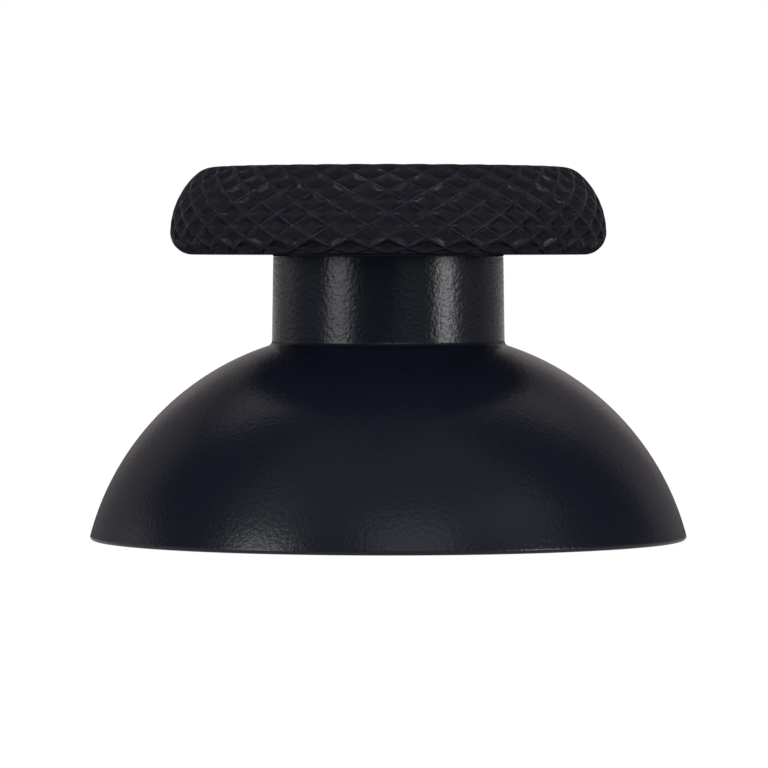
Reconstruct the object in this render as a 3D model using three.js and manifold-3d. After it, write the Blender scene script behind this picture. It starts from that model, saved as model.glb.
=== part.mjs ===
// Thumbstick cap: a hard moulded body with a dome skirt, stem and shaft socket, and a soft knurled grip
// moulded over its head. Lengths are in millimetres, +Z runs up the stem, and the rim stands on z = 0.

import * as THREE from 'three';
import { mergeVertices } from 'three/addons/utils/BufferGeometryUtils.js';
import Module from 'manifold-3d';

const wasm = await Module();
wasm.setup();

// Overall
const CAP_HEIGHT = 16.22; // rim to the crest of the grip
const DIAMOND_COUNT = 36; // of the knurl, round the head
const SEGMENTS = 2 * DIAMOND_COUNT; // facets round the axis

// Dome skirt
const SKIRT_RADIUS = 13.0; // widest, just above the rim
const DOME_ARC_RADIUS = 11.88; // outer face, in section
const DOME_ARC_DROP = 2.84; // the arc's centre lies this far below the rim
const DOME_WALL = 1.2;
const RIM_EDGE_ROUND = 0.2; // outer edge of the rim

// Stem
const STEM_RADIUS = 5.02; // where it enters the head
const STEM_DRAFT_DEG = 0.9;
const STEM_ROOT_FILLET = 0.15;

// Head, outside
const HEAD_RADIUS = 9.51;
const HEAD_THICKNESS = 3.81; // flat underside to crest
const LOW_CORNER_RADIUS = 0.97;
const FLANK_START_DEG = 1.3; // where the low corner runs into the flank, above the level
const TOP_CORNER_RADIUS = 1.28;
const CREST_INSET = 1.97; // widest part of the head to the crest
const CREST_LAND = 0.25; // level strip along the crest
const CREST_INNER_RADIUS = 0.9;
const DISH_DEPTH = 1.3; // crest to the bottom of the thumb dish

// Knurl
const KNURL_ROWS = 11; // half diamonds from the low corner to the inner edge of the crest
const KNURL_DEPTH = 0.15;
const KNURL_MARGIN_DEG = 12; // plain strip of the low corner, from the underside up

// Core inside the head
const GRIP_WALL = 1.7; // soft material outside the core
const GRIP_FLOOR = 1.1; // soft material between dish and core
const CORE_LIP_OVERHANG = 0.6; // undercut that locks the grip on
const BOND_GAP = 0.05;

// Shaft socket and its boss
const SHAFT_RADIUS = 2.0; // of the module's double-D shaft
const SHAFT_FLAT_DEPTH = 0.5; // cut off each side of the round shaft
const SHAFT_CLEARANCE = 0.05;
const BOSS_WALL = 1.35;
const BOSS_END = 1.4; // height of the boss's end above the rim
const SOCKET_DEPTH = 6.6;
const SOCKET_LEAD_IN = 0.3;

// Gussets between boss and dome
const GUSSET_COUNT = 4;
const GUSSET_THICKNESS = 0.8;
const GUSSET_DEPTH = 2.85; // roof of the hollow, at the boss, to the gussets' lower edge

const DEG = Math.PI / 180;
const DOME_STEPS = 11;
const HOLLOW_STEPS = 7;
const ROUND_STEPS = 3;
const DISH_STEPS = 6;
const SOCKET_STEPS = 12;

const BODY_PLASTIC = new THREE.MeshStandardMaterial({ color: 0x161a23, roughness: 0.4, metalness: 0 });
const GRIP_RUBBER = new THREE.MeshStandardMaterial({ color: 0x1e1e23, roughness: 0.85, metalness: 0 });

/** A round arc in the section plane, from one angle to another in degrees. */
function arc(centre, radius, fromDeg, toDeg) {
  const clockwise = toDeg < fromDeg;
  return new THREE.EllipseCurve(centre.x, centre.y, radius, radius, fromDeg * DEG, toDeg * DEG, clockwise);
}

/** A point of the section: distance from the axis, and height. */
function at(radius, height) {
  return new THREE.Vector2(radius, height);
}

/** Height of a circle's upper half over a distance from the axis. */
function heightOnArc(centre, radius, distance) {
  return centre.y + Math.sqrt(radius ** 2 - (distance - centre.x) ** 2);
}

/** Direction from one point of the section to another, in degrees. */
function bearing(from, to) {
  return Math.atan2(to.y - from.y, to.x - from.x) / DEG;
}

/** A solid of revolution about Z. The section starts and ends on the axis, with material on its left. */
function turned(section) {
  return new THREE.LatheGeometry(section, SEGMENTS).rotateX(Math.PI / 2);
}

/** The same surface with shared vertices merged and collapsed triangles left out. */
function welded(geometry) {
  const bare = geometry.clone();
  bare.deleteAttribute('normal');
  bare.deleteAttribute('uv');
  const merged = mergeVertices(bare);
  const corners = merged.index.array;
  const kept = [];
  for (let i = 0; i < corners.length; i += 3) {
    const [a, b, c] = corners.subarray(i, i + 3);
    if (a !== b && b !== c && c !== a) kept.push(a, b, c);
  }
  merged.setIndex(kept);
  return merged;
}

function toSolid(geometry) {
  const { index, attributes } = welded(geometry);
  return new wasm.Manifold(new wasm.Mesh({
    numProp: 3,
    vertProperties: new Float32Array(attributes.position.array),
    triVerts: new Uint32Array(index.array),
  }));
}

function toGeometry(solid) {
  const { vertProperties, triVerts } = solid.getMesh();
  const geometry = new THREE.BufferGeometry();
  geometry.setAttribute('position', new THREE.BufferAttribute(vertProperties, 3));
  geometry.setIndex(new THREE.BufferAttribute(triVerts, 1));
  geometry.computeVertexNormals();
  return geometry;
}

// The dome's arc passes through the widest point of the skirt, at the top of the rim's rounded edge
const domeReach = Math.sqrt(DOME_ARC_RADIUS ** 2 - (DOME_ARC_DROP + RIM_EDGE_ROUND) ** 2);
const domeCentre = at(SKIRT_RADIUS - domeReach, -DOME_ARC_DROP);
const hollowArcRadius = DOME_ARC_RADIUS - DOME_WALL;

const headUnderside = CAP_HEIGHT - HEAD_THICKNESS;
const dishFloor = CAP_HEIGHT - DISH_DEPTH;
const coreRadius = HEAD_RADIUS - GRIP_WALL;
const coreNeckRadius = coreRadius - CORE_LIP_OVERHANG;
const coreTop = dishFloor - GRIP_FLOOR;
const undercut = (headUnderside + coreTop) / 2;

const socketRadius = SHAFT_RADIUS + SHAFT_CLEARANCE;
const socketHalfFlats = SHAFT_RADIUS - SHAFT_FLAT_DEPTH + SHAFT_CLEARANCE;
const bossRadius = socketRadius + BOSS_WALL;
const roofHeight = heightOnArc(domeCentre, hollowArcRadius, bossRadius);

/** Section of the body without its socket: boss, hollow, rim, dome, stem, and the core inside the grip. */
function bodySection() {
  const stemDrop = headUnderside - heightOnArc(domeCentre, DOME_ARC_RADIUS, STEM_RADIUS);
  const stemRootRadius = STEM_RADIUS + stemDrop * Math.tan(STEM_DRAFT_DEG * DEG);
  const filletX = stemRootRadius + STEM_ROOT_FILLET;
  const fillet = at(filletX, heightOnArc(domeCentre, DOME_ARC_RADIUS + STEM_ROOT_FILLET, filletX));
  const rimEdge = at(SKIRT_RADIUS - RIM_EDGE_ROUND, RIM_EDGE_ROUND);
  const hollowRim = at(domeCentre.x + Math.sqrt(hollowArcRadius ** 2 - DOME_ARC_DROP ** 2), 0);
  const roof = at(bossRadius, roofHeight);
  return [
    at(0, BOSS_END),
    at(bossRadius, BOSS_END),
    ...arc(domeCentre, hollowArcRadius, bearing(domeCentre, roof), bearing(domeCentre, hollowRim))
      .getPoints(HOLLOW_STEPS),
    ...arc(rimEdge, RIM_EDGE_ROUND, -90, 0).getPoints(ROUND_STEPS),
    ...arc(domeCentre, DOME_ARC_RADIUS, bearing(domeCentre, at(SKIRT_RADIUS, RIM_EDGE_ROUND)),
      bearing(domeCentre, fillet)).getPoints(DOME_STEPS).slice(1),
    ...arc(fillet, STEM_ROOT_FILLET, bearing(fillet, domeCentre), -180).getPoints(ROUND_STEPS).slice(1),
    at(STEM_RADIUS, headUnderside),
    at(coreNeckRadius, headUnderside),
    at(coreNeckRadius, undercut),
    at(coreRadius, undercut),
    at(coreRadius, coreTop),
    at(0, coreTop),
  ];
}

/** Double-D outline of a shaft or its socket: a circle with two flats, facing +Y and -Y. */
function doubleD(radius, halfFlats) {
  const flatDeg = Math.asin(halfFlats / radius) / DEG;
  const outline = new THREE.Shape();
  outline.absarc(0, 0, radius, -flatDeg * DEG, flatDeg * DEG, false);
  outline.absarc(0, 0, radius, (180 - flatDeg) * DEG, (180 + flatDeg) * DEG, false);
  outline.closePath();
  return outline;
}

/** The socket as a solid to cut away, with a cone at its mouth that leads the shaft in. */
function socket() {
  const bore = new THREE.ExtrudeGeometry(doubleD(socketRadius, socketHalfFlats), {
    depth: SOCKET_DEPTH + SOCKET_LEAD_IN,
    bevelEnabled: false,
    curveSegments: SOCKET_STEPS,
  });
  bore.translate(0, 0, BOSS_END - SOCKET_LEAD_IN);
  const leadIn = turned([
    at(0, BOSS_END - SOCKET_LEAD_IN),
    at(socketRadius + 2 * SOCKET_LEAD_IN, BOSS_END - SOCKET_LEAD_IN),
    at(socketRadius, BOSS_END + SOCKET_LEAD_IN),
    at(0, BOSS_END + SOCKET_LEAD_IN),
  ]);
  return toSolid(bore).add(toSolid(leadIn));
}

/** A gusset along +X that reaches from inside the boss's wall to the middle of the dome's wall. */
function gusset() {
  const buried = hollowArcRadius + DOME_WALL / 2;
  const inner = bossRadius - BOSS_WALL / 2;
  const top = at(inner, heightOnArc(domeCentre, buried, inner));
  const bottom = roofHeight - GUSSET_DEPTH;
  const outer = at(domeCentre.x + Math.sqrt(buried ** 2 - (bottom - domeCentre.y) ** 2), bottom);
  const side = new THREE.Shape([
    at(inner, bottom),
    ...arc(domeCentre, buried, bearing(domeCentre, outer), bearing(domeCentre, top))
      .getPoints(HOLLOW_STEPS),
  ]);
  return new THREE.ExtrudeGeometry(side, { depth: GUSSET_THICKNESS, bevelEnabled: false })
    .rotateX(Math.PI / 2)
    .translate(0, GUSSET_THICKNESS / 2, 0);
}

function bodyGeometry() {
  let body = toSolid(turned(bodySection()));
  for (let i = 0; i < GUSSET_COUNT; i += 1) {
    body = body.add(toSolid(gusset().rotateZ((i * 2 * Math.PI) / GUSSET_COUNT)));
  }
  return toGeometry(body.subtract(socket()));
}

/** Centres and meeting angles of the tangent arcs along the outside of the head. */
function headArcs() {
  const low = at(HEAD_RADIUS - LOW_CORNER_RADIUS, headUnderside + LOW_CORNER_RADIUS);
  const top = at(HEAD_RADIUS - CREST_INSET, CAP_HEIGHT - TOP_CORNER_RADIUS);
  // The flank leaves the low corner at flankStart and touches the top corner, which gives its radius
  const outwards = at(Math.cos(FLANK_START_DEG * DEG), Math.sin(FLANK_START_DEG * DEG));
  const flankStart = low.clone().addScaledVector(outwards, LOW_CORNER_RADIUS);
  const span = flankStart.clone().sub(top);
  const room = span.dot(outwards) - TOP_CORNER_RADIUS;
  const flankRadius = (span.lengthSq() - TOP_CORNER_RADIUS ** 2) / (2 * room);
  const flank = flankStart.clone().addScaledVector(outwards, -flankRadius);
  const inner = at(top.x - CREST_LAND, CAP_HEIGHT - CREST_INNER_RADIUS);
  // The dish is an arc about a point on the axis that runs into the inner crest without a corner
  const reach = (inner.x ** 2 + DISH_DEPTH ** 2) / (2 * DISH_DEPTH);
  const dish = at(0, dishFloor + reach - CREST_INNER_RADIUS);
  return { low, flank, flankRadius, top, inner, dish, dishRadius: reach - CREST_INNER_RADIUS };
}

/** The knurled stretch of the section, from the low corner over the flank and the crest to the dish. */
function knurlLine({ low, flank, flankRadius, top, inner, dish }) {
  const flankEndDeg = bearing(flank, top);
  const line = new THREE.CurvePath();
  line.add(arc(low, LOW_CORNER_RADIUS, KNURL_MARGIN_DEG - 90, FLANK_START_DEG));
  line.add(arc(flank, flankRadius, FLANK_START_DEG, flankEndDeg));
  line.add(arc(top, TOP_CORNER_RADIUS, flankEndDeg, 90));
  line.add(new THREE.LineCurve(at(top.x, CAP_HEIGHT), at(inner.x, CAP_HEIGHT)));
  line.add(arc(inner, CREST_INNER_RADIUS, 90, bearing(inner, dish)));
  return line.getSpacedPoints(KNURL_ROWS);
}

/** Section of the grip, from the recess round the core over the knurled rim to the dish. */
function gripSection() {
  const arcs = headArcs();
  const knurl = knurlLine(arcs);
  const neck = coreNeckRadius + BOND_GAP;
  const recess = coreRadius + BOND_GAP;
  const below = [
    at(0, coreTop + BOND_GAP),
    at(recess, coreTop + BOND_GAP),
    at(recess, undercut - BOND_GAP),
    at(neck, undercut - BOND_GAP),
    at(neck, headUnderside),
    at(arcs.low.x, headUnderside),
  ];
  const dishEdgeDeg = bearing(arcs.dish, knurl.at(-1));
  const dish = arc(arcs.dish, arcs.dishRadius, dishEdgeDeg, -90).getPoints(DISH_STEPS).slice(1);
  return { section: [...below, ...knurl, ...dish], firstRow: below.length, rowCount: knurl.length };
}

/**
 * Presses a diamond knurl into a turned surface. On the rows of the knurl every second vertex stays on the
 * surface as a crossing of two ridges, and the others sink to the middle of a diamond. The triangles are
 * then divided along the ridges, which run from crossing to crossing.
 */
function pressKnurl(geometry, { section, firstRow, rowCount }) {
  const rows = section.length;
  const { position } = geometry.attributes;
  const corners = [];
  for (let column = 0; column <= SEGMENTS; column += 1) {
    const turn = (column * 2 * Math.PI) / SEGMENTS;
    for (let row = firstRow + 1; row < firstRow + rowCount - 1; row += 1) {
      if ((column + row) % 2 === 0) continue;
      const along = section[row + 1].clone().sub(section[row - 1]).normalize();
      const sunk = section[row].clone().addScaledVector(at(-along.y, along.x), KNURL_DEPTH);
      position.setXYZ(column * rows + row, sunk.x * Math.sin(turn), -sunk.x * Math.cos(turn), sunk.y);
    }
  }
  for (let column = 0; column < SEGMENTS; column += 1) {
    for (let row = 0; row < rows - 1; row += 1) {
      const a = column * rows + row;
      const [b, c, d] = [a + rows, a + rows + 1, a + 1];
      if ((column + row) % 2 === 0) corners.push(a, b, c, a, c, d);
      else corners.push(a, b, d, b, c, d);
    }
  }
  geometry.setIndex(corners);
  return geometry;
}

function gripGeometry() {
  const knurled = gripSection();
  return pressKnurl(turned(knurled.section), knurled);
}

const cap = new THREE.Group();

const body = new THREE.Mesh(bodyGeometry(), BODY_PLASTIC);
body.name = 'cap_body';
cap.add(body);

const grip = new THREE.Mesh(gripGeometry(), GRIP_RUBBER);
grip.name = 'thumb_grip';
cap.add(grip);

export default cap;
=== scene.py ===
"""Thumbstick cap, dressed and lit as in its product photograph.

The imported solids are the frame. Two finer surfaces stand for them: the hard body in satin plastic with
the grain of a spark-eroded mould, and the soft grip with its diamond knurl. Sizes are in millimetres and
become metres where a mesh, a lamp or the camera is made. Angles are in degrees until they are worked
with. Heights are above the rim, and the axis is Z.
"""

import logging
import math
from dataclasses import dataclass, field
from enum import Enum
from typing import Any, Mapping, Optional, Union

import bpy
import numpy as np
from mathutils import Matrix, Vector


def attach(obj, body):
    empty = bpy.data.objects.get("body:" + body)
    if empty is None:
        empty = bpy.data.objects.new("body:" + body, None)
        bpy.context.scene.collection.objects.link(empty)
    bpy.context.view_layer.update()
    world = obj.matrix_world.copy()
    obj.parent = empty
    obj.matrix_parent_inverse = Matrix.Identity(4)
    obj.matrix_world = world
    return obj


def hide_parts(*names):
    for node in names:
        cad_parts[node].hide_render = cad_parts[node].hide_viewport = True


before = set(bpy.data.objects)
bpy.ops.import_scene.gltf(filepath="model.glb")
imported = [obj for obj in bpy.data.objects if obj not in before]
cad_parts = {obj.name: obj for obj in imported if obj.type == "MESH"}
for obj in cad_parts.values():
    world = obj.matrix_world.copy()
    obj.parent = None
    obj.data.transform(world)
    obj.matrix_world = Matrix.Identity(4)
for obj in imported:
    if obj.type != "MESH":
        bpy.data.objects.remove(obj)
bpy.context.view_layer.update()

log = logging.getLogger("thumbstick_cap")

MM = 0.001
DEGREES = 180 / math.pi
NOISE_MIDDLE = 0.5
WHITE = (1.0, 1.0, 1.0, 1.0)

# The hard body repeats every quadrant, and each quadrant is two mirrored halves
QUADRANTS = 4
HALF_QUADRANT = math.pi / QUADRANTS

# Half rows of diamonds up the head
HALF_ROWS = 11

# Distance from the axis of the ring next to a flat end's pole, as a share of the end's radius
POLE_SHARE = 0.25

# A step of a section that is this many times as long as the one beside it gets a guard row
LONG_STEP = 3

# Keeps the double D's formula from dividing by zero
TINY = 1e-6

Point = tuple[float, float]
Colour = tuple[float, ...]
Measure = Union[float, np.ndarray]


class Body(Enum):
    """Bodies of the frame."""

    CAP = "root"


class CadNode(Enum):
    """Solids of the frame that a finer surface stands for."""

    CAP_BODY = "cap_body"
    THUMB_GRIP = "thumb_grip"


class Slot(Enum):
    """Material slots of the record."""

    BODY_PLASTIC = "body_plastic"
    GRIP_RUBBER = "grip_rubber"


class Ray(Enum):
    """Kinds of ray that the studio's floor and background tell apart."""

    CAMERA = "Is Camera Ray"
    GLOSSY = "Is Glossy Ray"
    TRANSMISSION = "Is Transmission Ray"


class Wire:
    """An output socket with the arithmetic that the finishes use. Each operator adds a Math node."""

    def __init__(self, shader: "Shader", socket: bpy.types.NodeSocket) -> None:
        """Keeps the socket and the node tree that it belongs to."""
        self.shader = shader
        self.socket = socket

    def _math(self, operation: str, *values: "Number") -> "Wire":
        """Adds a Math node over the values."""
        return self.shader.node("ShaderNodeMath", {"operation": operation}, dict(enumerate(values)))

    def __add__(self, other: "Number") -> "Wire":
        """Sum."""
        return self._math("ADD", self, other)

    def __radd__(self, other: "Number") -> "Wire":
        """Sum with a plain number in front."""
        return self._math("ADD", other, self)

    def __sub__(self, other: "Number") -> "Wire":
        """Difference."""
        return self._math("SUBTRACT", self, other)

    def __rsub__(self, other: "Number") -> "Wire":
        """Difference with a plain number in front."""
        return self._math("SUBTRACT", other, self)

    def __mul__(self, other: "Number") -> "Wire":
        """Product."""
        return self._math("MULTIPLY", self, other)

    def __rmul__(self, other: "Number") -> "Wire":
        """Product with a plain number in front."""
        return self._math("MULTIPLY", other, self)

    def __abs__(self) -> "Wire":
        """Absolute value."""
        return self._math("ABSOLUTE", self)

    def angle_from(self, other: "Number") -> "Wire":
        """Angle in radians whose tangent is this over the other, -pi to pi."""
        return self._math("ARCTAN2", self, other)

    def arc_sine(self) -> "Wire":
        """Angle in radians whose sine this is."""
        return self._math("ARCSINE", self)

    def to_nearest_whole(self) -> "Wire":
        """Distance from the nearest whole number, 0 to 0.5."""
        return abs(self - self._math("ROUND", self))

    def or_less(self, other: "Number") -> "Wire":
        """The smaller of the two."""
        return self._math("MINIMUM", self, other)

    def at_least(self, other: "Number") -> "Wire":
        """The larger of the two."""
        return self._math("MAXIMUM", self, other)

    def eased(self, low: float, high: float) -> "Wire":
        """Smooth rise from 0 where the value is low to 1 where it is high. High may be the smaller."""
        sockets = {"Value": self, "From Min": low, "From Max": high}
        return self.shader.node("ShaderNodeMapRange", {"interpolation_type": "SMOOTHSTEP"}, sockets)


Number = Union[float, Wire]


class Shader:
    """The node tree of a material or of the world, built from plain expressions."""

    def __init__(self, tree: bpy.types.NodeTree) -> None:
        """Empties the tree, so that only what the expressions add is in it."""
        self.tree = tree
        self.tree.nodes.clear()

    def node(
        self,
        kind: str,
        settings: Optional[Mapping[str, Any]] = None,
        sockets: Optional[Mapping[Union[str, int], Any]] = None,
        output: Union[str, int] = 0,
    ) -> Wire:
        """Adds one node, sets it up and fills its sockets.

        Args:
            kind: the node's type.
            settings: its own settings, such as a Math node's operation.
            sockets: value or Wire of each input, by name or number.
            output: name or number of the output to hand back.

        Returns:
            The chosen output.
        """
        made = self.tree.nodes.new(kind)
        for name, value in (settings or {}).items():
            setattr(made, name, value)
        for name, value in (sockets or {}).items():
            if isinstance(value, Wire):
                self.tree.links.new(value.socket, made.inputs[name])
            else:
                made.inputs[name].default_value = value
        return Wire(self, made.outputs[output])

    def blend(self, share: Number, first: Any, second: Any) -> Wire:
        """Mix of two colours by the share of the second. Its colours are inputs 6 and 7 and output 2."""
        sockets = {0: share, 6: first, 7: second}
        return self.node("ShaderNodeMix", {"data_type": "RGBA"}, sockets, output=2)

    def ray(self, *kinds: Ray) -> Wire:
        """Mask that is 1 for the kinds of ray that are named and 0 for others."""
        masks = [self.node("ShaderNodeLightPath", output=kind.value) for kind in kinds]
        return sum(masks[1:], masks[0])

    def place(self) -> Wire:
        """Object coordinates, in metres from the object's origin."""
        return self.node("ShaderNodeTexCoord", output="Object")

    def place_of_world(self) -> Wire:
        """Direction of the world's light, a vector of length 1."""
        return self.node("ShaderNodeTexCoord", output="Generated")

    def axis(self, vector: Wire, name: str) -> Wire:
        """One coordinate of a vector: X, Y or Z."""
        return self.node("ShaderNodeSeparateXYZ", None, {"Vector": vector}, output=name)

    def noise(self, place: Wire, feature: float, octaves: float, share: float = 0.5) -> Wire:
        """Noise of a real size.

        Args:
            place: coordinates in metres.
            feature: size of one cell of the noise, in millimetres.
            octaves: how many times finer noise is added.
            share: strength of each finer octave next to the one before.

        Returns:
            The noise, about 0 to 1.
        """
        settings = {"noise_dimensions": "3D"}
        scale = 1 / (feature * MM)
        sockets = {"Vector": place, "Scale": scale, "Detail": octaves, "Roughness": share}
        return self.node("ShaderNodeTexNoise", settings, sockets)

    def relief(self, height: Wire, depth: float) -> Wire:
        """Surface normal of a height from 0 to 1, where 1 stands the depth in millimetres proud."""
        return self.node("ShaderNodeBump", None, {"Height": height, "Distance": depth * MM})

    def close(self, kind: str, surface: Wire) -> None:
        """Adds the tree's output node, of the kind that is named, and links the surface to it."""
        made = self.tree.nodes.new(kind)
        self.tree.links.new(surface.socket, made.inputs["Surface"])


@dataclass(frozen=True)
class SparkErodedPlastic:
    """Satin blue-black plastic with the fine grain that a spark-eroded mould leaves."""

    colour: Colour = (0.0062, 0.0086, 0.0170)
    cloud_colour: Colour = (0.0070, 0.0095, 0.0184)
    cloud_feature: float = 4.0
    cloud_low: float = 0.35
    cloud_high: float = 0.65
    roughness: float = 0.26
    roughness_swing: float = 0.08
    grain_feature: float = 0.19
    grain_depth: float = 0.014
    fine_feature: float = 0.08
    fine_depth: float = 0.003

    def material(self) -> bpy.types.Material:
        """Builds the material on Object coordinates.

        Returns:
            The finished material.
        """
        made = bpy.data.materials.new("satin_body_plastic")
        made.use_nodes = True
        shader = Shader(made.node_tree)
        place = shader.place()
        clouds = shader.noise(place, self.cloud_feature, octaves=2.0)
        cloudy = clouds.eased(self.cloud_low, self.cloud_high)
        grain = shader.noise(place, self.grain_feature, octaves=1.0, share=0.6)
        fine = shader.noise(place, self.fine_feature, octaves=1.0)
        height = grain + fine * (self.fine_depth / self.grain_depth)
        sockets = {
            "Base Color": shader.blend(cloudy, self.colour + (1,), self.cloud_colour + (1,)),
            "Roughness": (fine - NOISE_MIDDLE) * self.roughness_swing + self.roughness,
            "Normal": shader.relief(height, self.grain_depth),
        }
        shader.close("ShaderNodeOutputMaterial", shader.node("ShaderNodeBsdfPrincipled", None, sockets))
        return made


@dataclass(frozen=True)
class KnurledRubber:
    """Matt black rubber. The crowns of its knurl are smoother than its cells and a little worn. Its cells
    are painted darker than its ridges, as painted shade.
    """

    knurl_map: str = "knurl"
    height_attribute: str = "ridge"
    # Painted shade and light: the cells' colour is darker for the shade in the knurl's recesses, and the
    # ridges' colour is lighter
    painted_shade_cell_colour: Colour = (0.0040, 0.0043, 0.0130)
    painted_light_ridge_colour: Colour = (0.0090, 0.0092, 0.0200)
    cell_roughness: float = 0.68
    wall_polish: float = 0.34
    crown_polish: float = 0.40
    roughness_swing: float = 0.14
    crown_half_width: float = 0.16
    crown_height: float = 0.048
    ridge_spacing: float = 1.1
    wear_feature: float = 0.55
    wear_low: float = 0.35
    wear_high: float = 0.62
    unworn_polish: float = 0.25
    unworn_crown: float = 0.35
    grain_feature: float = 0.13
    grain_depth: float = 0.010
    lower_end: float = 0.4
    upper_end: float = 1.4

    def crowns(self, shader: Shader) -> Wire:
        """The thin crowns of the ridges, from the knurl's own map.

        The map counts diamonds round the head (u) and half rows up it (v). Ridges lie where u - v / 2
        or u + v / 2 is a whole number. A crown rises smoothly to 1 within its half width of either.

        Args:
            shader: the material's node tree.

        Returns:
            1 on a crown and 0 off it, faded at both ends of the knurl.
        """
        place = shader.node("ShaderNodeUVMap", {"uv_map": self.knurl_map})
        round_way = shader.axis(place, "X")
        row = shader.axis(place, "Y")
        rising = (round_way - row * 0.5).to_nearest_whole()
        falling = (round_way + row * 0.5).to_nearest_whole()
        off = rising.or_less(falling) * self.ridge_spacing
        lower = row.eased(0.0, self.lower_end)
        upper = row.eased(HALF_ROWS, HALF_ROWS - self.upper_end)
        return off.eased(self.crown_half_width, 0.0) * lower * upper

    def material(self) -> bpy.types.Material:
        """Builds the material on the knurl's map and height and on Object coordinates.

        A ridge's walls are 4 h (1 - h) of its height h, which is 1 half-way up. Walls and crowns are
        smoother than the cells, and wear makes them smoother and prouder still. The colour is painted
        shade:
        darker down in the cells and lighter up on the ridges, by height.

        Returns:
            The finished material.
        """
        made = bpy.data.materials.new("matt_grip_rubber")
        made.use_nodes = True
        shader = Shader(made.node_tree)
        place = shader.place()
        grain = shader.noise(place, self.grain_feature, octaves=2.0, share=0.6)
        patches = shader.noise(place, self.wear_feature, octaves=2.0, share=0.6)
        wear = patches.eased(self.wear_low, self.wear_high)
        height = shader.node(
            "ShaderNodeAttribute", {"attribute_name": self.height_attribute}, None, output="Fac"
        )
        crown = self.crowns(shader)
        wall = height * (1 - height) * 4
        polish = wall * self.wall_polish + crown * self.crown_polish
        polish = polish * (self.unworn_polish + wear * (1 - self.unworn_polish))
        beads = crown * (self.unworn_crown + wear * (1 - self.unworn_crown))
        relief = beads + grain * (self.grain_depth / self.crown_height)
        sockets = {
            # Painted shade: the colour darkens from the ridges' crowns down into the knurl's cells
            "Base Color": shader.blend(height, self.painted_shade_cell_colour + (1,), self.painted_light_ridge_colour + (1,)),
            "Roughness": (grain - NOISE_MIDDLE) * self.roughness_swing + self.cell_roughness - polish,
            "Normal": shader.relief(relief, self.crown_height),
        }
        shader.close("ShaderNodeOutputMaterial", shader.node("ShaderNodeBsdfPrincipled", None, sockets))
        return made


def arc(centre: Point, radius: float, start: float, end: float, count: int) -> np.ndarray:
    """Points of an arc: the centre plus the radius times (cos, sin) of even angles in degrees."""
    angle = np.radians(np.linspace(start, end, count))
    return np.asarray(centre) + radius * np.stack([np.cos(angle), np.sin(angle)], axis=-1)


def run(start: Point, end: Point, count: int) -> np.ndarray:
    """Points evenly spaced on a straight line of the section, both ends included."""
    return np.linspace(start, end, count)


def softened(corners: np.ndarray, radii: np.ndarray, steps: int) -> np.ndarray:
    """A broken line whose inner corners are arcs that touch both of their sides.

    The arc at a corner starts radius * tan(turn / 2) before it. Its centre lies one radius off the
    incoming side, towards the turn, and its points are its start swung about the centre by even shares
    of the turn.

    Args:
        corners: the line's points, first and last included.
        radii: radius at each inner corner.
        steps: points on each arc.

    Returns:
        The line's points, with each inner corner replaced by its arc.
    """
    sides = np.diff(corners, axis=0)
    ways = sides / np.linalg.norm(sides, axis=1, keepdims=True)
    coming, going = ways[:-1], ways[1:]
    cross = coming[:, 0] * going[:, 1] - coming[:, 1] * going[:, 0]
    turn = np.arctan2(cross, (coming * going).sum(axis=1))
    reach = radii * np.tan(np.abs(turn) / 2)
    inward = np.sign(turn)[:, None] * np.stack([-coming[:, 1], coming[:, 0]], axis=-1)
    start = corners[1:-1] - coming * reach[:, None]
    centre = start + inward * radii[:, None]
    swing = np.linspace(0, 1, steps)[None, :] * turn[:, None]
    arm = (start - centre)[:, None, :]
    turned = np.stack(
        [
            arm[..., 0] * np.cos(swing) - arm[..., 1] * np.sin(swing),
            arm[..., 0] * np.sin(swing) + arm[..., 1] * np.cos(swing),
        ],
        axis=-1,
    )
    arcs = (centre[:, None, :] + turned).reshape(-1, 2)
    return np.concatenate([corners[:1], arcs, corners[-1:]])


def chain(*stretches: np.ndarray) -> np.ndarray:
    """Joins stretches that each start where the one before ends, without the repeated points."""
    return np.concatenate([stretches[0]] + [stretch[1:] for stretch in stretches[1:]])


def guarded(line: np.ndarray) -> np.ndarray:
    """Adds a row to each long step beside a short one, so that smooth shading keeps long faces true.

    Where a step is over LONG_STEP times as long as its neighbour, it gets a point at the neighbour's
    length from their joint.

    Args:
        line: section points.

    Returns:
        The line with the new points in it.
    """
    steps = np.diff(line, axis=0)
    lengths = np.linalg.norm(steps, axis=1)
    ways = steps / lengths[:, None]
    after = np.flatnonzero(lengths[1:] > LONG_STEP * lengths[:-1]) + 1
    before = np.flatnonzero(lengths[:-1] > LONG_STEP * lengths[1:])
    points = np.concatenate(
        [
            line[after] + ways[after] * lengths[after - 1, None],
            line[before + 1] - ways[before] * lengths[before + 1, None],
        ]
    )
    # Where one step gets both points, these shares keep them in their order along it
    places = np.concatenate([after + 0.3, before + 0.7])
    order = np.argsort(np.concatenate([np.arange(len(line)), places]), kind="stable")
    return np.concatenate([line, points])[order]


def bearing(origin: Point, target: Point) -> float:
    """Direction from one point of the section to another, in degrees from the level."""
    return math.degrees(math.atan2(target[1] - origin[1], target[0] - origin[0]))


def smooth_step(share: np.ndarray) -> np.ndarray:
    """3 s^2 - 2 s^3 of the share held between 0 and 1, which starts and ends level."""
    held = np.clip(share, 0, 1)
    return held * held * (3 - 2 * held)


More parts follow.
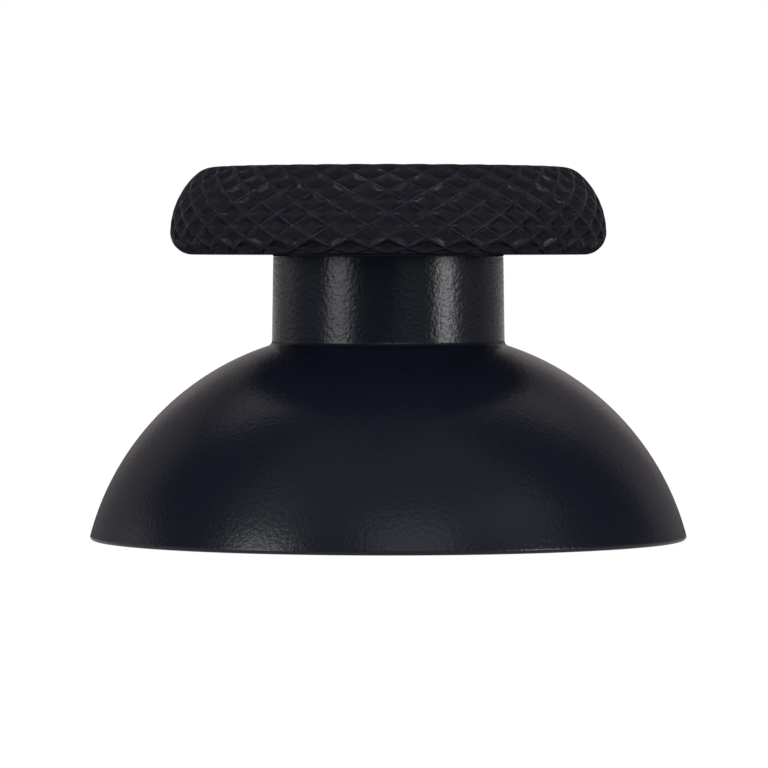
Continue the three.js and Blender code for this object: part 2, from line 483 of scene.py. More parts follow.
def closed_mesh(
    name: str, rings: np.ndarray, start: float, end: float, leaning: Optional[np.ndarray] = None
) -> bpy.types.Mesh:
    """Skins rings of points into one closed mesh with a pole on the axis at each end.

    Face (i, j) joins point j of ring i and its neighbour round the ring with the same two points of
    ring i + 1, and the last column joins the first. Each end is closed by triangles to its pole.

    Args:
        name: the mesh's name.
        rings: array of (ring, column, xyz), in millimetres, first ring next to the start pole.
        start: height of the pole before the first ring.
        end: height of the pole after the last ring.
        leaning: where given, each face is two triangles, divided from its first corner to its third
            where this is true and from its second to its fourth elsewhere.

    Returns:
        The mesh, in metres, with its faces pointing outwards.
    """
    count, columns = rings.shape[:2]
    index = np.arange(count * columns).reshape(count, columns)
    beside = np.roll(index, -1, axis=1)
    corners = np.stack([index[:-1], beside[:-1], beside[1:], index[1:]], axis=-1).reshape(-1, 4)
    if leaning is None:
        skin = corners.tolist()
    else:
        pick = leaning.reshape(-1, 1)
        first = np.where(pick, corners[:, [0, 1, 2]], corners[:, [0, 1, 3]])
        second = np.where(pick, corners[:, [0, 2, 3]], corners[:, [1, 2, 3]])
        skin = np.concatenate([first, second]).tolist()
    start_pole = np.full(columns, count * columns)
    caps = np.concatenate(
        [
            np.stack([start_pole, beside[0], index[0]], axis=-1),
            np.stack([start_pole + 1, index[-1], beside[-1]], axis=-1),
        ]
    )
    points = np.concatenate([rings.reshape(-1, 3), [[0, 0, start], [0, 0, end]]]) * MM
    mesh = bpy.data.meshes.new(name)
    mesh.from_pydata(points.tolist(), [], skin + caps.tolist())
    mesh.validate()
    mesh.polygons.foreach_set("use_smooth", np.ones(len(mesh.polygons), dtype=bool))
    if signed_volume(mesh) < 0:
        mesh.flip_normals()
    return mesh


def signed_volume(mesh: bpy.types.Mesh) -> float:
    """Volume inside a closed mesh, negative where its faces point inwards.

    It is the sum over the triangles of a . (b x c) / 6.

    Args:
        mesh: the closed mesh.

    Returns:
        The volume in cubic metres.
    """
    points = np.empty(len(mesh.vertices) * 3)
    mesh.vertices.foreach_get("co", points)
    mesh.calc_loop_triangles()
    corners = np.empty(len(mesh.loop_triangles) * 3, dtype=np.int64)
    mesh.loop_triangles.foreach_get("vertices", corners)
    a, b, c = np.moveaxis(points.reshape(-1, 3)[corners.reshape(-1, 3)], 1, 0)
    return float((a * np.cross(b, c)).sum() / 6)


def show(mesh: bpy.types.Mesh, material: bpy.types.Material) -> bpy.types.Object:
    """Puts a mesh in the scene under its own name.

    Args:
        mesh: the mesh, already in its place.
        material: its only material.

    Returns:
        The new object, at the origin.
    """
    piece = bpy.data.objects.new(mesh.name, mesh)
    bpy.context.scene.collection.objects.link(piece)
    mesh.materials.append(material)
    return piece


@dataclass(frozen=True)
class Core:
    """The head's hard core and the space that it fills in the grip."""

    radius: float = 7.81
    neck_radius: float = 7.21
    underside: float = 12.41
    undercut: float = 13.115
    top: float = 13.82
    bond_gap: float = 0.05


@dataclass
class HardBody:
    """The hard plastic body: shaft socket, boss, gussets, dome skirt, stem and core."""

    core: Core = field(default_factory=Core)
    finish: SparkErodedPlastic = field(default_factory=SparkErodedPlastic)

    skirt_radius: float = 13.0
    dome_radius: float = 11.88
    dome_drop: float = 2.84
    dome_wall: float = 1.2
    rim_height: float = 0.2
    rim_round: float = 0.15
    rim_inner_round: float = 0.06
    rim_run: float = 0.1

    stem_radius: float = 5.02
    stem_draft: float = 0.9
    root_fillet: float = 0.24
    edge_round: float = 0.08
    hidden_round: float = 0.03

    socket_radius: float = 2.05
    socket_half_flats: float = 1.55
    socket_floor: float = 8.0
    socket_fillet: float = 0.1
    ledge_slope: float = 0.02
    lead_in: float = 0.3

    boss_radius: float = 3.4
    boss_end: float = 1.4
    boss_round: float = 0.15
    roof_fillet: float = 0.2

    gusset_half: float = 0.4
    gusset_depth: float = 2.85
    gusset_round: float = 0.12
    gusset_fillet: float = 0.15
    gusset_runout: float = 0.3

    # Columns in half a quadrant, from the middle of a gusset to half-way to the next
    flat_columns: int = 3
    round_columns: int = 4
    side_columns: int = 5
    fillet_columns: int = 4
    open_columns: int = 31

    # Rows along the section, from the socket's floor to the rim and on to the core
    floor_rows: int = 6
    bore_rows: int = 10
    boss_rows: int = 16
    roof_fillet_rows: int = 6
    roof_rows: int = 26
    skirt_rows: int = 22
    rim_rows: int = 9
    dome_rows: int = 60
    root_rows: int = 9
    stem_rows: int = 8
    edge_rows: int = 5
    small_edge_rows: int = 4

    # How far above the rim the hollow's arc ends, in degrees of the arc
    arc_end: float = 0.6

    smooth_limit: float = 32.0

    def __post_init__(self) -> None:
        """Works out the dome's centre, the hollow's arc and where the gussets end."""
        reach = math.sqrt(self.dome_radius**2 - (self.dome_drop + self.rim_height) ** 2)
        self.dome_centre = (self.skirt_radius - reach, -self.dome_drop)
        self.hollow_radius = self.dome_radius - self.dome_wall
        self.gusset_bottom = self.hollow_height(self.boss_radius) - self.gusset_depth

    def hollow_height(self, distance: Measure) -> Measure:
        """Height of the hollow's arc over a distance from the axis."""
        off = distance - self.dome_centre[0]
        return self.dome_centre[1] + np.sqrt(self.hollow_radius**2 - off**2)

    def socket_rows(self) -> tuple[np.ndarray, np.ndarray]:
        """Rows from the socket's floor down its wall to the end of the boss.

        Returns:
            Section points and, for each, how far its ring is the double D (1) or a circle (0).
        """
        inset = self.socket_radius - self.socket_fillet
        first = inset / self.floor_rows
        corner = (inset, self.socket_floor - self.socket_fillet)
        mouth = self.boss_end + self.lead_in
        bore = chain(
            run((first, self.socket_floor), (inset, self.socket_floor), self.floor_rows),
            arc(corner, self.socket_fillet, 90, 0, self.small_edge_rows),
            run(
                (self.socket_radius, corner[1]),
                (self.socket_radius, mouth + self.ledge_slope),
                self.bore_rows,
            ),
        )
        cone_end = self.socket_radius + self.lead_in
        end = softened(
            np.array(
                [
                    (self.socket_radius, mouth),
                    (cone_end, self.boss_end),
                    (self.boss_radius, self.boss_end),
                    (self.boss_radius, mouth),
                ]
            ),
            np.array([self.edge_round, self.boss_round]),
            self.edge_rows,
        )
        shape = np.concatenate([np.ones(len(bore)), np.zeros(len(end))])
        return np.concatenate([bore, end]), shape

    def hollow_rows(self) -> np.ndarray:
        """Rows over the roof of the hollow, from the boss to the rim.

        Returns:
            Section points on the hollow's arc, closer together along the boss's fillet.
        """
        bend = np.radians(np.linspace(0, 90, self.roof_fillet_rows))
        near_boss = self.boss_radius + self.roof_fillet * (1 - np.cos(bend))
        fillet = np.stack([near_boss, self.hollow_height(near_boss)], axis=-1)
        leave = bearing(self.dome_centre, fillet[-1])
        rise = (self.gusset_bottom - self.dome_centre[1]) / self.hollow_radius
        meet = math.degrees(math.asin(rise))
        foot = math.degrees(math.asin(self.dome_drop / self.hollow_radius))
        end = foot + self.arc_end
        over_gussets = arc(self.dome_centre, self.hollow_radius, leave, meet, self.roof_rows)
        below_gussets = arc(self.dome_centre, self.hollow_radius, meet, end, self.skirt_rows)
        return chain(fillet, over_gussets, below_gussets)

    def outer_rows(self) -> np.ndarray:
        """Rows from the inner edge of the rim over the dome, stem and core to the core's top.

        The hollow's wall meets the rim along a chord that starts rim_run inside the rim's inner edge.

        Returns:
            Section points.
        """
        foot = self.dome_centre[0] + math.sqrt(self.hollow_radius**2 - self.dome_drop**2)
        inside = foot - self.rim_run
        rim_reach = self.dome_radius - self.rim_round
        seat = math.sqrt(rim_reach**2 - (self.dome_drop + self.rim_round) ** 2)
        rim_centre = (self.dome_centre[0] + seat, self.rim_round)
        rim_end = bearing(self.dome_centre, rim_centre)
        rim_face = softened(
            np.array([(inside, self.hollow_height(inside)), (foot, 0.0), (rim_centre[0], 0.0)]),
            np.array([self.rim_inner_round]),
            self.edge_rows,
        )[1:]

        top = self.core.underside
        over = self.dome_centre[1] + math.sqrt(
            self.dome_radius**2 - (self.stem_radius - self.dome_centre[0]) ** 2
        )
        foot_radius = self.stem_radius + (top - over) * math.tan(math.radians(self.stem_draft))
        fillet_x = foot_radius + self.root_fillet
        reach = self.dome_radius + self.root_fillet
        fillet_z = self.dome_centre[1] + math.sqrt(reach**2 - (fillet_x - self.dome_centre[0]) ** 2)
        fillet = (fillet_x, fillet_z)
        crown = bearing(self.dome_centre, fillet)

        core = self.core
        hidden = self.hidden_round
        stem = softened(
            np.array(
                [
                    (foot_radius, fillet_z),
                    (self.stem_radius, top),
                    (core.neck_radius, top),
                    (core.neck_radius, core.undercut),
                    (core.radius, core.undercut),
                    (core.radius, core.top),
                    (core.radius * POLE_SHARE, core.top),
                ]
            ),
            np.array([self.edge_round, hidden, hidden, hidden, self.edge_round]),
            self.small_edge_rows,
        )
        rise = run((foot_radius, fillet_z), tuple(stem[1]), self.stem_rows)
        outer = chain(
            rim_face,
            arc(rim_centre, self.rim_round, -90, rim_end, self.rim_rows),
            arc(self.dome_centre, self.dome_radius, rim_end, crown, self.dome_rows),
            arc(fillet, self.root_fillet, crown - 180, -180, self.root_rows),
            rise,
            stem[1:],
        )
        return guarded(outer)

    def gusset_columns(self, distance: np.ndarray, roof: np.ndarray) -> tuple[np.ndarray, np.ndarray]:
        """Angles and heights of half a quadrant's columns over the hollow.

        A column on the gusset's free edge has the height of the gusset's lower side. Columns on its
        flank share one distance from the gusset's middle plane and climb to the roof, with a round below
        and a fillet above. The others follow the roof. Where the gusset runs out into the dome, its
        height falls to nothing, and so do its round and fillet, while the flank's columns spread over
        the roof.

        Args:
            distance: each row's distance from the axis.
            roof: each row's height on the roof.

        Returns:
            Angle from the gusset's middle plane, in radians, and height, each as (row, column).
        """
        height = np.maximum(roof - self.gusset_bottom, 0)[:, None]
        below = np.minimum(self.gusset_round, height / 2)
        above = np.minimum(self.gusset_fillet, height / 2)
        run_out = smooth_step(1 - height / self.gusset_runout)

        flat = np.linspace(0, 1, self.flat_columns + 1)[None, :]
        swing = np.radians(np.linspace(0, 90, self.round_columns + 1))[None, 1:]
        climb = np.linspace(0, 1, self.side_columns + 2)[None, 1:-1]
        bend = np.radians(np.linspace(0, 90, self.fillet_columns + 1))[None, :]

        rows = len(height)
        offsets = np.concatenate(
            [
                (self.gusset_half - below) * flat,
                self.gusset_half - below * (1 - np.sin(swing)),
                np.full((rows, self.side_columns), self.gusset_half),
                self.gusset_half + above * (1 - np.cos(bend)),
            ],
            axis=1,
        )
        lifts = np.concatenate(
            [
                np.zeros((rows, self.flat_columns + 1)),
                below * (1 - np.cos(swing)),
                below + (height - below - above) * climb,
                height - above * (1 - np.sin(bend)),
            ],
            axis=1,
        )
        wide = offsets.shape[1]
        order = np.clip(np.arange(wide) - self.flat_columns, 0, None)[None, :]
        offsets = offsets + run_out * order * (self.gusset_half / wide)
        angles = np.arcsin(offsets / distance[:, None])

        share = np.linspace(0, 1, self.open_columns + 1)[None, 1:]
        edge = angles[:, -1:]
        angles = np.concatenate([angles, edge + (HALF_QUADRANT - edge) * share], axis=1)
        lifts = np.concatenate([lifts, np.repeat(height, self.open_columns, axis=1)], axis=1)
        base = np.minimum(roof, self.gusset_bottom)[:, None]
        return angles, base + lifts

    def half_quadrant(self) -> tuple[np.ndarray, ...]:
        """Every row over half a quadrant, from the middle of a gusset to half-way to the next.

        Near the boss the roof comes down by r - sqrt(r^2 - n^2), with r as the fillet's radius and n as
        how far a row reaches into it. Below the gussets the columns even out, row by row.

        Returns:
            Distance from the axis, angle and height of each point, as (row, column), and how far each
            row is the double D.
        """
        socket, double_d = self.socket_rows()
        hollow = self.hollow_rows()
        outer = self.outer_rows()

        angles, heights = self.gusset_columns(hollow[:, 0], hollow[:, 1])
        near = np.clip(self.boss_radius + self.roof_fillet - hollow[:, :1], 0, self.roof_fillet)
        heights = heights - (self.roof_fillet - np.sqrt(self.roof_fillet**2 - near**2))
        columns = angles.shape[1]
        even = np.linspace(0, HALF_QUADRANT, columns)[None, :]
        below = hollow[:, 1] < self.gusset_bottom
        fade = smooth_step(np.cumsum(below) / below.sum())[:, None]
        angles = angles + (even - angles) * fade

        climb = np.linspace(0, 1, self.boss_rows + 2)[1:-1, None]
        wall_heights = socket[-1, 1] + (heights[:1] - socket[-1, 1]) * climb
        wall_angles = even + (angles[:1] - even) * climb
        wall_distance = np.full_like(wall_heights, self.boss_radius)

        distance = np.concatenate(
            [
                np.repeat(socket[:, :1], columns, axis=1),
                wall_distance,
                np.repeat(hollow[:, :1], columns, axis=1),
                np.repeat(outer[:, :1], columns, axis=1),
            ]
        )
        angle = np.concatenate(
            [
                np.repeat(even, len(socket), axis=0),
                wall_angles,
                angles,
                np.repeat(even, len(outer), axis=0),
            ]
        )
        height = np.concatenate(
            [
                np.repeat(socket[:, 1:], columns, axis=1),
                wall_heights,
                heights,
                np.repeat(outer[:, 1:], columns, axis=1),
            ]
        )
        shape = np.concatenate([double_d, np.zeros(len(height) - len(double_d))])
        return distance, angle, height, shape

    def rings(self) -> np.ndarray:
        """All rings of the body: the half quadrant mirrored, and four of these round the axis.

        A ring of the socket has its distance from the axis times min(1, f / |sin|), which makes it the
        double D, with f as the share of the radius that its flats lie at.

        Returns:
            Array of (ring, column, xyz), in millimetres.
        """
        distance, angle, height, shape = self.half_quadrant()

        def quadrant(half: np.ndarray, sign: int) -> np.ndarray:
            """Mirrors a half about the gusset's middle plane and leaves out the doubled columns."""
            return np.concatenate([sign * half[:, -2:0:-1], half], axis=1)

        turns = np.arange(QUADRANTS) * 2 * HALF_QUADRANT
        angle = np.concatenate([quadrant(angle, -1) + turn for turn in turns], axis=1)
        distance = np.tile(quadrant(distance, 1), QUADRANTS)
        height = np.tile(quadrant(height, 1), QUADRANTS)
        flats = self.socket_half_flats / self.socket_radius
        double_d = np.minimum(1, flats / np.maximum(np.abs(np.sin(angle)), TINY))
        distance = distance * (1 + (double_d - 1) * shape[:, None])
        return np.stack([distance * np.cos(angle), distance * np.sin(angle), height], axis=-1)

    def build(self) -> bpy.types.Object:
        """Makes and dresses the body's surface.

        Returns:
            The new piece, in the place of the CAD node.
        """
        mesh = closed_mesh("cap_body_surface", self.rings(), self.socket_floor, self.core.top)
        mesh.set_sharp_from_angle(angle=math.radians(self.smooth_limit))
        piece = show(mesh, self.finish.material())
        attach(piece, Body.CAP.value)
        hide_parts(CadNode.CAP_BODY.value)
        return piece


@dataclass
class ThumbGrip:
    """The soft grip: a rounded head with a diamond knurl round it and a thumb dish on top."""

    core: Core = field(default_factory=Core)
    finish: KnurledRubber = field(default_factory=KnurledRubber)

    radius: float = 9.51
    crest: float = 16.22
    low_corner: float = 0.97
    flank_start: float = 1.3
    top_corner: float = 1.28
    crest_inset: float = 1.97
    crest_land: float = 0.25
    crest_inner: float = 0.9
    dish_depth: float = 1.3
    hidden_round: float = 0.04
    neck_edge_round: float = 0.06

    diamonds: int = 36
    margin: float = 12.0
    knurl_depth: float = 0.13
    ridge_half_width: float = 0.28
    lower_end: float = 0.3
    upper_end: float = 2.5

    columns_per_diamond: int = 16
    rings_per_half_row: int = 8
    hidden_rows: int = 4
    underside_rows: int = 6
    dish_rows: int = 26
    arc_samples: int = 400
    land_samples: int = 100
    smooth_limit: float = 50.0

    def __post_init__(self) -> None:
        """Works out the centres and meeting angles of the arcs along the head's section."""
        self.low = (self.radius - self.low_corner, self.core.underside + self.low_corner)
        self.top = (self.radius - self.crest_inset, self.crest - self.top_corner)
        start = math.radians(self.flank_start)
        outwards = np.array([math.cos(start), math.sin(start)])
        flank_foot = np.array(self.low) + outwards * self.low_corner
        span = flank_foot - np.array(self.top)
        room = span @ outwards - self.top_corner
        self.flank_radius = float((span @ span - self.top_corner**2) / (2 * room))
        self.flank = tuple(flank_foot - outwards * self.flank_radius)
        self.flank_end = bearing(self.flank, self.top)
        self.inner = (self.top[0] - self.crest_land, self.crest - self.crest_inner)
        reach = (self.inner[0] ** 2 + self.dish_depth**2) / (2 * self.dish_depth)
        self.dish_radius = reach - self.crest_inner
        self.dish = (0.0, self.crest - self.dish_depth + self.dish_radius)
        self.dish_edge = bearing(self.inner, self.dish)

    def knurl_line(self) -> np.ndarray:
        """The knurled stretch of the section, from the low corner to the inner edge of the crest.

        The line is sampled finely along its arcs, and its points are then spaced evenly by length.

        Returns:
            Section points, one for each ring of the knurl.
        """
        fine = chain(
            arc(self.low, self.low_corner, self.margin - 90, self.flank_start, self.arc_samples),
            arc(self.flank, self.flank_radius, self.flank_start, self.flank_end, self.arc_samples),
            arc(self.top, self.top_corner, self.flank_end, 90, self.arc_samples),
            run((self.top[0], self.crest), (self.inner[0], self.crest), self.land_samples),
            arc(self.inner, self.crest_inner, 90, self.dish_edge, self.arc_samples),
        )
        length = np.concatenate([[0], np.cumsum(np.linalg.norm(np.diff(fine, axis=0), axis=1))])
        wanted = np.linspace(0, length[-1], HALF_ROWS * self.rings_per_half_row + 1)
        return np.stack([np.interp(wanted, length, fine[:, axis]) for axis in (0, 1)], axis=-1)

    def inside(self) -> np.ndarray:
        """Rows of the recess that holds the core, and of the flat underside.

        Returns:
            Section points from the recess's roof to the start of the low corner.
        """
        core = self.core
        neck = core.neck_radius + core.bond_gap
        recess = core.radius + core.bond_gap
        return softened(
            np.array(
                [
                    (recess * POLE_SHARE, core.top + core.bond_gap),
                    (recess, core.top + core.bond_gap),
                    (recess, core.undercut - core.bond_gap),
                    (neck, core.undercut - core.bond_gap),
                    (neck, core.underside),
                    (self.low[0], core.underside),
                ]
            ),
            np.array([self.hidden_round, self.hidden_round, self.hidden_round, self.neck_edge_round]),
            self.hidden_rows,
        )

    def relief(self, line: np.ndarray, columns: int) -> tuple[np.ndarray, np.ndarray]:
        """How deep each point of the knurl lies, and which way its ridges run.

        Two families of ridges run up the head. For each half row, the rising one goes half a diamond
        forward round it and the falling one half a diamond back. A point lies a and b away from the
        nearest ridge of each, and its depth is the full depth times S(a) S(b), with S the smooth step
        from the ridge's crown to its foot, so that cells have rounded corners. The depth fades to nothing
        at both ends of the knurl.

        Args:
            line: section points of the knurl.
            columns: number of points round the head.

        Returns:
            Depth as a share of the full depth, (ring, column), and for each face whether the ridge
            nearest to it is a rising one.
        """
        row = np.arange(len(line))[:, None] / self.rings_per_half_row
        round_way = np.arange(columns)[None, :] / self.columns_per_diamond
        step = np.linalg.norm(line[1] - line[0]) * self.rings_per_half_row
        pitch = 2 * math.pi * line[:, :1] / self.diamonds
        across = pitch * step / np.hypot(step, pitch / 2)

        def off(count: np.ndarray) -> np.ndarray:
            """Distance from the nearest whole number."""
            return np.abs(count - np.round(count))

        rising = off(round_way - row / 2)
        falling = off(round_way + row / 2)
        near = smooth_step(rising * across / self.ridge_half_width)
        far = smooth_step(falling * across / self.ridge_half_width)
        lower = smooth_step(row / self.lower_end)
        upper = smooth_step((HALF_ROWS - row) / self.upper_end)
        return near * far * (lower * upper), rising[:-1] < falling[:-1]

    def rings(self) -> tuple[np.ndarray, np.ndarray, np.ndarray, int]:
        """All rings of the grip, with the knurl pressed in.

        Returns:
            Array of (ring, column, xyz) in millimetres, the ridge height of each point from 0 to 1, the
            direction in which each face is divided, and the ring that the knurl starts at.
        """
        columns = self.diamonds * self.columns_per_diamond
        knurl = self.knurl_line()
        turn_up = arc(self.low, self.low_corner, -90, self.margin - 90, self.underside_rows)
        before = chain(self.inside(), turn_up)[:-1]
        edge = bearing(self.dish, tuple(knurl[-1]))
        after = arc(self.dish, self.dish_radius, edge, -90, self.dish_rows)[1:-1]
        line = np.concatenate([before, knurl, after])

        along = np.gradient(line, axis=0)
        along /= np.linalg.norm(along, axis=1, keepdims=True)
        inward = np.stack([-along[:, 1], along[:, 0]], axis=-1)

        depth, lean = self.relief(knurl, columns)
        sunk = np.zeros((len(line), columns))
        sunk[len(before) : len(before) + len(knurl)] = depth
        leaning = np.ones((len(line) - 1, columns), dtype=bool)
        leaning[len(before) : len(before) + len(knurl) - 1] = lean

        distance = line[:, :1] + inward[:, :1] * sunk * self.knurl_depth
        height = line[:, 1:] + inward[:, 1:] * sunk * self.knurl_depth
        turn = np.arange(columns)[None, :] * 2 * math.pi / columns
        points = np.stack([distance * np.sin(turn), -distance * np.cos(turn), height], axis=-1)
        return points, 1 - sunk, leaning, len(before)

    def map_knurl(self, mesh: bpy.types.Mesh, columns: int, first: int) -> None:
        """Gives the mesh its knurl map: diamonds counted round the head and half rows counted up it.

        Each corner's column and ring come from its vertex number. In the last column's faces, the
        corners at column 0 count one whole turn more, so that the map has no jump inside a face.

        Args:
            mesh: the grip's mesh, all of triangles.
            columns: number of points round the head.
            first: the ring that the knurl starts at.
        """
        vertices = np.empty(len(mesh.loops), dtype=np.int64)
        mesh.loops.foreach_get("vertex_index", vertices)
        corners = vertices.reshape(-1, 3)
        column = corners % columns
        jumps = np.ptp(column, axis=1, keepdims=True) > columns / 2
        column = column + columns * (jumps & (column < columns / 2))
        row = corners // columns - first
        places = np.stack([column / self.columns_per_diamond, row / self.rings_per_half_row], axis=-1)
        layer = mesh.uv_layers.new(name=self.finish.knurl_map)
        layer.uv.foreach_set("vector", places.astype(np.float32).ravel())

    def build(self) -> bpy.types.Object:
        """Makes and dresses the grip's surface.

        Returns:
            The new piece, in the place of the CAD node.
        """
        points, ridge, leaning, first = self.rings()
        roof = self.core.top + self.core.bond_gap
        mesh = closed_mesh("thumb_grip_surface", points, roof, self.crest - self.dish_depth, leaning)
        mesh.set_sharp_from_angle(angle=math.radians(self.smooth_limit))
        self.map_knurl(mesh, points.shape[1], first)
        # The poles are the last two points, off the knurl and at full height
        height = np.append(ridge.ravel(), [1.0, 1.0]).astype(np.float32)
        heights = mesh.attributes.new(self.finish.height_attribute, "FLOAT", "POINT")
        heights.data.foreach_set("value", height)
        piece = show(mesh, self.finish.material())
        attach(piece, Body.CAP.value)
        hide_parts(CadNode.THUMB_GRIP.value)
        return piece


@dataclass(frozen=True)
class SoftBox:
    """An upright lamp on the floor that faces the cap. Azimuth 0 is towards the camera."""

    name: str
    azimuth: float
    width: float
    top: float
    radiance: float
    bottom: float = 0.5
    distance: float = 260.0

    def build(self) -> None:
        """Stands the lamp up. Its power is pi times its area times the radiance that it shows."""
        round_way = math.radians(self.azimuth)
        out = Vector((math.sin(round_way), -math.cos(round_way), 0))
        height = (self.top - self.bottom) * MM
        lamp = bpy.data.lights.new(self.name, "AREA")
        lamp.shape = "RECTANGLE"
        lamp.size = self.width * MM
        lamp.size_y = height
        lamp.energy = math.pi * lamp.size * height * self.radiance
        made = bpy.data.objects.new(self.name, lamp)
        made.location = out * self.distance * MM + Vector((0, 0, self.bottom * MM + height / 2))
        made.rotation_euler = (-out).to_track_quat("-Z", "Y").to_euler()
        made.visible_camera = False
        bpy.context.scene.collection.objects.link(made)


@dataclass(frozen=True)
class Card:
    """A soft-edged pale card in the dark room that gloss reflects, placed by its angles from the cap."""

    azimuth: float
    half_width: float
    height: float
    half_height: float
    level: float
    edge: float = 12.0

    def light(self, shader: Shader, azimuth: Wire, height: Wire) -> Wire:
        """The card's light: its level times an eased window round its middle in each direction.

        Args:
            shader: the world's node tree.
            azimuth: direction round the cap, in degrees, 0 towards the camera.
            height: direction above the level, in degrees.

        Returns:
            The radiance that the card adds.
        """
        aside = abs(azimuth - self.azimuth)
        above = abs(height - self.height)
        wide = aside.eased(self.half_width + self.edge / 2, self.half_width - self.edge / 2)
        tall = above.eased(self.half_height + self.edge / 2, self.half_height - self.edge / 2)
        return wide * tall * self.level


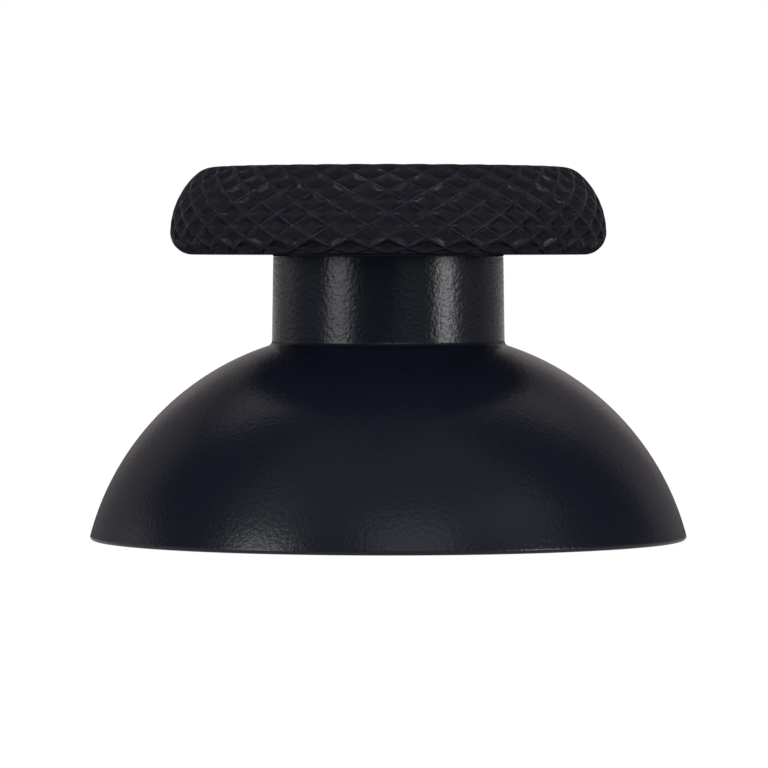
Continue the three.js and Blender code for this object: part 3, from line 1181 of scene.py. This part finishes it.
@dataclass
class Studio:
    """A white floor and background, two soft boxes, and the dark room with pale cards that gloss sees.

    Warm and white fade in with the part of a direction that points back, which is 1 straight behind the
    cap.
    """

    floor_half: float = 3000.0
    floor_sink: float = 0.02
    floor_colour: float = 0.85
    floor_glow: float = 0.86
    glow_level: float = 1.1
    gloss_start: float = 80.0
    gloss_full: float = 500.0
    ring_start: float = 24.0
    ring_full: float = 15.0
    ring_level: float = 0.36
    fill_level: float = 0.75
    room_level: float = 0.02
    warm_side: Colour = (1.0, 0.90, 0.91, 1.0)
    warm_from: float = -0.2
    warm_full: float = 0.2
    white_from: float = 0.985
    white_full: float = 0.9995
    left_box: SoftBox = SoftBox("left_soft_box", azimuth=-50.0, width=92.0, top=123.0, radiance=3.2)
    right_box: SoftBox = SoftBox("right_soft_box", azimuth=58.5, width=66.0, top=54.0, radiance=8.2)
    cards: tuple[Card, ...] = (
        Card(azimuth=10.0, half_width=18.0, height=26.0, half_height=11.0, level=0.74),
        Card(azimuth=0.0, half_width=75.0, height=54.0, half_height=24.0, level=0.15),
        Card(azimuth=22.0, half_width=12.0, height=3.0, half_height=7.0, level=0.36),
        Card(azimuth=-52.0, half_width=10.0, height=37.0, half_height=5.0, level=0.3),
        Card(azimuth=58.0, half_width=20.0, height=34.0, half_height=8.0, level=0.25),
        Card(azimuth=132.0, half_width=12.0, height=78.0, half_height=14.0, level=1.1),
        Card(azimuth=136.0, half_width=12.0, height=51.0, half_height=13.0, level=0.34),
        Card(azimuth=-133.0, half_width=14.0, height=65.0, half_height=20.0, level=0.48),
        Card(azimuth=88.0, half_width=14.0, height=2.0, half_height=8.0, level=0.32),
        Card(azimuth=114.0, half_width=9.0, height=2.0, half_height=7.0, level=0.26),
        Card(azimuth=150.0, half_width=22.0, height=16.0, half_height=20.0, level=0.18),
        Card(azimuth=170.0, half_width=9.0, height=13.0, half_height=7.0, level=0.4),
        Card(azimuth=-170.0, half_width=9.0, height=13.0, half_height=7.0, level=0.36),
        Card(azimuth=-146.0, half_width=24.0, height=16.0, half_height=20.0, level=0.16),
        Card(azimuth=-114.0, half_width=10.0, height=6.0, half_height=11.0, level=0.45),
        Card(azimuth=-88.0, half_width=14.0, height=2.0, half_height=8.0, level=0.26),
    )

    def floor_material(self) -> bpy.types.Material:
        """White floor whose matt part takes the cap's shadow.

        Its glow shows to the camera and to glass everywhere. Gloss sees it behind the cap and, weaker,
        in a ring close round the rim, and elsewhere a black sheet, as if one lay there.

        Returns:
            The finished material.
        """
        made = bpy.data.materials.new("white_floor")
        made.use_nodes = True
        made.cycles.emission_sampling = "NONE"
        shader = Shader(made.node_tree)
        place = shader.place()
        back = shader.axis(place, "Y")
        out = shader.node("ShaderNodeVectorMath", {"operation": "LENGTH"}, {0: place}, output="Value")
        ring = out.eased(self.ring_start * MM, self.ring_full * MM) * self.ring_level
        behind = back.eased(self.gloss_start * MM, self.gloss_full * MM).at_least(ring)
        gloss = shader.ray(Ray.GLOSSY)
        white = (self.floor_colour,) * 3 + (1,)
        matt = shader.node("ShaderNodeBsdfDiffuse", None, {"Color": white})
        strength = (1 - gloss * (1 - behind)) * self.glow_level
        glow = shader.node("ShaderNodeEmission", None, {"Color": WHITE, "Strength": strength})
        seen = shader.ray(Ray.CAMERA, Ray.TRANSMISSION) * self.floor_glow + gloss
        mixed = shader.node("ShaderNodeMixShader", None, {0: seen, 1: matt, 2: glow})
        shader.close("ShaderNodeOutputMaterial", mixed)
        return made

    def build_floor(self) -> None:
        """Lays the floor just under the rim."""
        half = self.floor_half * MM
        down = -self.floor_sink * MM
        mesh = bpy.data.meshes.new("studio_floor")
        corners = [(-half, -half, down), (half, -half, down), (half, half, down), (-half, half, down)]
        mesh.from_pydata(corners, [], [(0, 1, 2, 3)])
        show(mesh, self.floor_material())

    def build_world(self) -> None:
        """White background for the camera and glass, the room's cards for gloss, and an even fill."""
        world = bpy.data.worlds.new("studio_room")
        world.use_nodes = True
        world.cycles.sampling_method = "NONE"
        bpy.context.scene.world = world
        shader = Shader(world.node_tree)
        towards = shader.place_of_world()
        across, back, up = (shader.axis(towards, name) for name in "XYZ")
        azimuth = across.angle_from(0 - back) * DEGREES
        height = up.arc_sine() * DEGREES
        cards = [card.light(shader, azimuth, height) for card in self.cards]
        room = sum(cards, back.eased(self.white_from, self.white_full)) + self.room_level
        gloss = shader.ray(Ray.GLOSSY)
        seen = shader.ray(Ray.CAMERA, Ray.TRANSMISSION)
        level = seen + gloss * room + (1 - seen - gloss) * self.fill_level
        warmth = gloss * back.eased(self.warm_from, self.warm_full)
        colour = shader.blend(warmth, WHITE, self.warm_side)
        shader.close(
            "ShaderNodeOutputWorld",
            shader.node("ShaderNodeBackground", None, {"Color": colour, "Strength": level}),
        )

    def build(self) -> None:
        """Sets up the floor, the background and the lamps."""
        self.build_floor()
        self.build_world()
        self.left_box.build()
        self.right_box.build()
        bpy.context.scene.view_settings.view_transform = "Standard"


@dataclass(frozen=True)
class PhotoCamera:
    """The camera that the photograph's outline fits. Rows and columns are those of the photograph."""

    distance: float = 220.0
    height: float = 11.9
    pixels_per_mm: float = 22.91
    axis_column: float = 388.3
    horizon_row: float = 266.3
    picture_side: float = 768.0
    sensor: float = 36.0
    clip_start: float = 10.0

    def build(self) -> None:
        """Places the camera and aims it at the middle of the picture."""
        middle = self.picture_side / 2
        aim_x = (middle - self.axis_column) / self.pixels_per_mm
        aim_z = self.height - (middle - self.horizon_row) / self.pixels_per_mm
        spot = Vector((0, -self.distance, self.height)) * MM
        aim = Vector((aim_x, 0, aim_z)) * MM
        lens = bpy.data.cameras.new("photo_camera")
        lens.sensor_width = self.sensor
        lens.lens = self.pixels_per_mm * self.distance / self.picture_side * self.sensor
        lens.clip_start = self.clip_start * MM
        made = bpy.data.objects.new("photo_camera", lens)
        made.location = spot
        made.rotation_euler = (aim - spot).to_track_quat("-Z", "Y").to_euler()
        bpy.context.scene.collection.objects.link(made)
        bpy.context.scene.camera = made


def main() -> None:
    """Builds the camera, the two pieces and the studio."""
    logging.basicConfig(level=logging.INFO, format="%(message)s")
    PhotoCamera().build()
    for maker in (HardBody(), ThumbGrip()):
        piece = maker.build()
        log.info("%s: %d faces", piece.name, len(piece.data.polygons))
    Studio().build()


if __name__ == "__main__":
    main()
